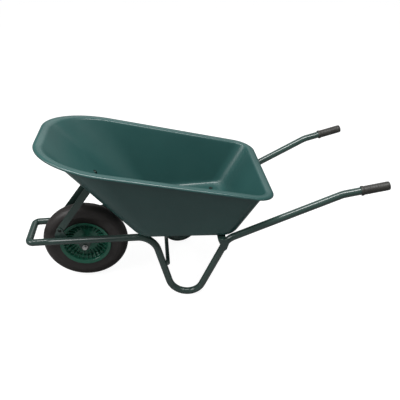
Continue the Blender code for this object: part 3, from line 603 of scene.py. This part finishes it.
def build_rim():
    """The moulded rim: ring, web and hub in one, with fins on both faces."""
    bm = turned(rounded(rim_section(), 0.0006, 2, True), 192, closed=True)
    for side, _ in SIDES:
        flip = Matrix.Scale(side, 4, (0, 0, 1))
        for i in range(FIN_COUNT):
            turn = Matrix.Rotation(FIN_TURN + math.tau * i / FIN_COUNT, 4, "Z")
            join_into(bm, fin_bmesh(), turn @ flip)
    mesh = mesh_from("rim_moulding", bm, 45)
    piece("rim_moulding", mesh, "wheel_plastic", "wheel", ("rim",), wheel_matrix())


def build_bushes():
    """The flanged bush in each end of the hub."""
    outline = [(0.0065, 0.0280), (0.0140, 0.0280), (0.0140, 0.0463), (0.0165, 0.0463)]
    outline += [(0.0165, 0.0485), (0.0065, 0.0485)]
    for side, label in SIDES:
        mesh = mesh_from("bush_" + label, turned(rounded(outline, 0.0006, 2, True), 64, closed=True))
        piece("bush_" + label, mesh, "nylon", "wheel", ("hub_bush_" + label,), wheel_matrix(side))


def build_valve():
    """The rubber stem through the rim, with a ribbed cap."""
    stem = [(0.0, 0.1000), (0.0036, 0.1000), (0.0036, 0.0850), (0.0052, 0.0835), (0.0052, 0.0800)]
    stem += [(0.0036, 0.0770), (0.0034, 0.0662), (0.0, 0.0660)]
    bm = turned(rounded(stem, 0.0006, 2), 32)
    mesh = mesh_from("valve_body", bm)
    piece("valve_body", mesh, "butyl_rubber", "wheel", ("valve_stem",), valve_matrix())
    cap = (0.0038, 0.0655), (0.0044, 0.0650), (0.0044, 0.0598), (0.0036, 0.0576), (0.0020, 0.0570)
    rings = []
    for radius, height in cap:
        ring = []
        for k in range(48):
            a = math.tau * k / 48
            rib = 0.0002 if k % 4 < 2 and radius > 0.0043 else 0.0
            ring.append(((radius + rib) * math.cos(a), (radius + rib) * math.sin(a), height))
        rings.append(ring)
    bm = rings_mesh(rings, caps=True)
    piece("valve_top", mesh_from("valve_top", bm), "butyl_rubber", "wheel", ("valve_cap",), valve_matrix())


# ---------------------------------------------------------------- grips


def build_grips():
    """A sleeve with a collar, shallow finger ribs and a rounded end."""
    profile = [(0.0, 0.0), (0.0110, 0.0), (0.0160, 0.0010), (0.0180, 0.0034), (0.0186, 0.0062)]
    profile += [(0.0180, 0.0076)]
    for i in range(GRIP_RIBS):
        z = GRIP_RIB_START + i * GRIP_RIB_PITCH
        profile += [(GRIP_RADIUS, z), (GRIP_RADIUS, z + 0.0068)]
        profile += [(GRIP_RADIUS - 0.0005, z + 0.0078), (GRIP_RADIUS - 0.0005, z + 0.0092)]
    profile += [(GRIP_RADIUS, 0.1036), (GRIP_RADIUS, 0.1068), (0.0206, 0.1092), (0.0210, 0.1125)]
    profile += [(0.0210, 0.1155), (0.0202, 0.1176), (0.0186, GRIP_LENGTH), (0.0165, GRIP_LENGTH)]
    profile += [(0.0163, 0.1120)]
    for side, label in SIDES:
        bend, end = (at(x, side * y, z) for x, y, z in (HANDLE_BEND, HANDLE_END))
        back = (bend - end).normalized()
        across = Vector((0, 1, 0)).cross(back).normalized()
        place = Matrix.Translation(end) @ Matrix((across, back.cross(across), back)).transposed().to_4x4()
        mesh = mesh_from("grip_sleeve_" + label, turned(rounded(profile, 0.0012, 3), 72))
        piece("grip_sleeve_" + label, mesh, "grip_plastic", "frame", ("grip_" + label,), place)


# ---------------------------------------------------------------- brackets and fasteners


def softened(node, name, width, segments=3, angle=24):
    """A sheet-metal CAD node made again with rolled edges."""
    bm = bmesh.new()
    bm.from_mesh(NODES[node].data)
    bmesh.ops.remove_doubles(bm, verts=bm.verts, dist=0.00002)
    bmesh.ops.dissolve_limit(bm, angle_limit=math.radians(1.5), verts=bm.verts, edges=bm.edges)
    edges = [e for e in bm.edges if len(e.link_faces) == 2 and e.calc_face_angle() > math.radians(angle)]
    bmesh.ops.bevel(
        bm, geom=edges, offset=width, segments=segments, profile=0.5, affect="EDGES", clamp_overlap=True
    )
    piece(name, mesh_from(name, bm, 30), "frame_paint", "frame", (node,))


def weld(name, path):
    """A weld bead along a path, with the ripples that a torch leaves."""
    radii = [WELD_RADIUS * (1.08 if i % 2 else 0.94) for i in range(len(path))]
    piece(name, mesh_from(name, swept(path, radii, 10)), "frame_paint")


def build_welds():
    """A bead round each end of the brace, where it meets the leg."""
    places = [vertex.co for vertex in NODES["leg_brace"].data.vertices]
    middle = sum(places, Vector()) / len(places)
    reach = max(place.y for place in places) - 0.004
    for side, label in SIDES:
        ring = arc(middle.x, middle.z, BRACE_WELD_RING, 0, 360, 40)
        weld("brace_weld_" + label, [Vector((x, side * reach, z)) for x, z in ring])


def build_brackets():
    for _, label in SIDES:
        softened("axle_bracket_" + label, "axle_plate_" + label, 0.0010)
        softened("tray_bracket_" + label, "tray_gusset_" + label, 0.0009)
        softened("stay_lug_" + label, "lug_plate_" + label, 0.0009)
        softened("nose_stay_" + label, "stay_bar_" + label, 0.0009)
    softened("tray_cross_strap", "cross_bar", 0.0009)
    softened("leg_brace", "brace_bar", 0.0006, 2, 50)


def node_axis(node):
    """(middle of its box, longest direction) of a small turned CAD node, from its points."""
    points = np.array([v.co for v in NODES[node].data.vertices])
    middle = (points.min(axis=0) + points.max(axis=0)) / 2
    _, _, rows = np.linalg.svd(points - points.mean(axis=0), full_matrices=False)
    return Vector(middle), Vector(rows[0])


def axis_matrix(origin, axis):
    return Matrix.Translation(origin) @ axis.to_track_quat("Z", "Y").to_matrix().to_4x4()


def span(node, axis):
    """The lowest and highest place of a CAD node along an axis through the world's origin."""
    places = [v.co.dot(axis) for v in NODES[node].data.vertices]
    return min(places), max(places)


def nut_bmesh(corner, bore, height):
    """A hexagon nut with chamfered corners and a smooth bore."""
    rings = []
    flat = corner * math.cos(math.pi / 6)
    for kind, z in (("bore", 0.0), ("low", 0.0), ("hex", 0.0), ("hex", 1.0), ("low", 1.0), ("bore", 1.0)):
        ring = []
        for k in range(72):
            a = math.tau * k / 72
            local = (a + math.pi / 6) % (math.pi / 3) - math.pi / 6
            hexagon = flat / math.cos(local)
            if kind == "bore":
                ring.append((bore * math.cos(a), bore * math.sin(a), z * height))
            elif kind == "low":
                r = min(hexagon, flat * 0.985)
                ring.append((r * math.cos(a), r * math.sin(a), z * height))
            else:
                slope = (hexagon - flat) * 0.58 + 0.0002
                face = z * height + slope * (1 - 2 * z)
                ring.append((hexagon * math.cos(a), hexagon * math.sin(a), face))
        rings.append(ring)
    return rings_mesh(rings, closed=True)


def threaded(radius, length, pitch):
    """Points of a threaded shank's outline, from its tip at height 0 down to -length."""
    profile = [(0.0, 0.0), (radius - 0.0008, 0.0)]
    for i in range(int(length / pitch)):
        profile += [(radius, -(i + 0.35) * pitch), (radius, -(i + 0.50) * pitch)]
        profile += [(radius - 0.0005, -(i + 0.95) * pitch)]
    return profile + [(radius, -length)]


def bolt_line(label):
    """(axis from the bolt's head to its nut, the point nearest the world's origin on that line)."""
    centre, axis = node_axis("bolt_" + label)
    nut_centre, _ = node_axis("nut_" + label)
    if (nut_centre - centre).dot(axis) < 0:
        axis.negate()
    return axis, nut_centre - axis * nut_centre.dot(axis)


def build_fastener(label, washer):
    """A domed bolt with a threaded end, its chamfered nut and maybe a washer, at the CAD bolt's place."""
    axis, line = bolt_line(label)

    def placed(name, bm, node, low):
        seat = axis_matrix(line + axis * low, axis)
        piece(name + label, mesh_from(name + label, bm, 35), "black_zinc", "frame", (node + label,), seat)

    low, high = span("bolt_" + label, axis)
    dome = [(0.0, 0.0), (0.0022, 0.0003), (0.0045, 0.0010), (0.0065, 0.0021), (0.0078, 0.0034)]
    dome += [(0.0083, 0.0044), (0.0040, 0.0044)]
    thread = threaded(BOLT_RADIUS, BOLT_THREAD, BOLT_PITCH)
    shank = [(radius, z + (high - low)) for radius, z in reversed(thread)]
    placed("stud_", turned(dome + shank, 40), "bolt_", low)
    low, high = span("nut_" + label, axis)
    placed("hex_", nut_bmesh(NUT_CORNER, NUT_BORE, high - low), "nut_", low)
    if washer:
        low, high = span("washer_" + label, axis)
        thick = high - low
        ring = [(WASHER_BORE, 0.0), (WASHER_RADIUS, 0.0), (WASHER_RADIUS, thick), (WASHER_BORE, thick)]
        placed("disc_", turned(rounded(ring, 0.0003, 2, True), 48, closed=True), "washer_", low)


def build_fasteners():
    for _, label in SIDES:
        build_fastener("floor_front_" + label, True)
        build_fastener("floor_rear_" + label, True)
        build_fastener("nose_" + label, True)
        build_fastener("lug_" + label, False)


def build_axle():
    """The fixed axle with threaded ends, its spacers, washers and nuts."""
    end = threaded(AXLE_RADIUS, AXLE_THREAD, AXLE_PITCH)
    profile = [(r, z + AXLE_HALF) for r, z in end]
    profile += [(r, -z) for r, z in reversed(profile)]
    bm = turned(profile, 48)
    piece("axle_rod", mesh_from("axle_rod", bm, 35), "zinc_steel", "frame", ("axle",), wheel_matrix())
    for side, label in SIDES:
        place, axis = wheel_matrix(side), Vector((0, side, 0))
        spacer = "axle_spacer_", "spacer_sleeve_", SPACER_RADIUS
        washer = "axle_washer_", "axle_disc_", AXLE_WASHER_RADIUS
        for part, name, outer in (spacer, washer):
            low, high = span(part + label, axis)
            ring = [(AXLE_RING_BORE, low), (outer, low), (outer, high), (AXLE_RING_BORE, high)]
            mesh = mesh_from(name + label, turned(rounded(ring, 0.0004, 2, True), 64, closed=True))
            piece(name + label, mesh, "zinc_steel", "frame", (part + label,), place)
        low, high = span("axle_nut_" + label, axis)
        mesh = mesh_from("axle_hex_" + label, nut_bmesh(AXLE_NUT_CORNER, AXLE_NUT_BORE, high - low), 35)
        seat = place @ Matrix.Translation((0, 0, low))
        piece("axle_hex_" + label, mesh, "zinc_steel", "frame", ("axle_nut_" + label,), seat)


# ---------------------------------------------------------------- scene


def finish_carried_nodes():
    """Gives each CAD node its slot's finish, for those that stay in view."""
    slots = {row["node"]: row["material_slot"] for row in frame["record"]["subparts"]}
    for name, obj in NODES.items():
        for held in obj.material_slots:
            held.material = FINISHES[slots[name]]


def build_floor():
    """A pale sheet under the barrow."""
    bm = bmesh.new()
    bmesh.ops.create_grid(bm, x_segments=2, y_segments=2, size=30.0)
    mesh = bpy.data.meshes.new("studio_floor")
    bm.to_mesh(mesh)
    bm.free()
    floor = bpy.data.objects.new("studio_floor", mesh)
    floor.location.z = -0.0005
    bpy.context.scene.collection.objects.link(floor)
    s = Surface("studio_floor")
    tone = s.mix(s.spread(s.noise(1.5, 3.0), 0.3, 0.7), (0.26, 0.26, 0.26), (0.30, 0.30, 0.30))
    seen = s.node("ShaderNodeLightPath").outputs["Is Camera Ray"]
    s.set(Base_Color=tone, Roughness=0.9, Emission_Color=(1.0, 1.0, 1.0, 1.0))
    mesh.materials.append(s.set(Emission_Strength=s.spread(seen, 0.0, 1.0, 0.0, FLOOR_GLOW)))


def area_light(name, place, target, size, power):
    light = bpy.data.lights.new(name, "AREA")
    light.shape = "RECTANGLE"
    light.size, light.size_y = size
    light.energy = power
    lamp = bpy.data.objects.new(name, light)
    lamp.location = place
    lamp.rotation_euler = (Vector(target) - Vector(place)).to_track_quat("-Z", "Y").to_euler()
    bpy.context.scene.collection.objects.link(lamp)


def build_light():
    """Softboxes in a dim surround that the camera itself sees as white."""
    world = bpy.data.worlds.new("studio")
    bpy.context.scene.world = world
    world.use_nodes = True
    tree = world.node_tree
    background = tree.nodes["Background"]
    background.inputs["Color"].default_value = (1.0, 1.0, 1.0, 1.0)
    seen, share = tree.nodes.new("ShaderNodeLightPath"), tree.nodes.new("ShaderNodeMapRange")
    share.inputs["To Min"].default_value = SURROUND
    tree.links.new(seen.outputs["Is Camera Ray"], share.inputs["Value"])
    tree.links.new(share.outputs[0], background.inputs["Strength"])
    for name, place, size, power in SOFTBOXES:
        area_light(name, place, (0.0, 0.0, 0.4), size, power)


def build_camera():
    camera = bpy.data.cameras.new("camera")
    camera.lens, camera.sensor_width = CAMERA_LENS, SENSOR
    camera.clip_start = 0.05
    holder = bpy.data.objects.new("camera", camera)
    turn = Matrix.Rotation(-CAMERA_TURN, 4, "Z") @ Matrix.Rotation(math.pi / 2 - CAMERA_DOWN, 4, "X")
    holder.matrix_world = Matrix.Translation(CAMERA_AT) @ turn @ Matrix.Rotation(CAMERA_ROLL, 4, "Z")
    bpy.context.scene.collection.objects.link(holder)
    bpy.context.scene.camera = holder


finish_carried_nodes()
build_frame_tube()
build_tray()
build_tyre()
build_rim()
build_bushes()
build_valve()
build_grips()
build_brackets()
build_welds()
build_fasteners()
build_axle()
build_floor()
build_light()
build_camera()
bpy.context.scene.view_settings.view_transform = "Standard"
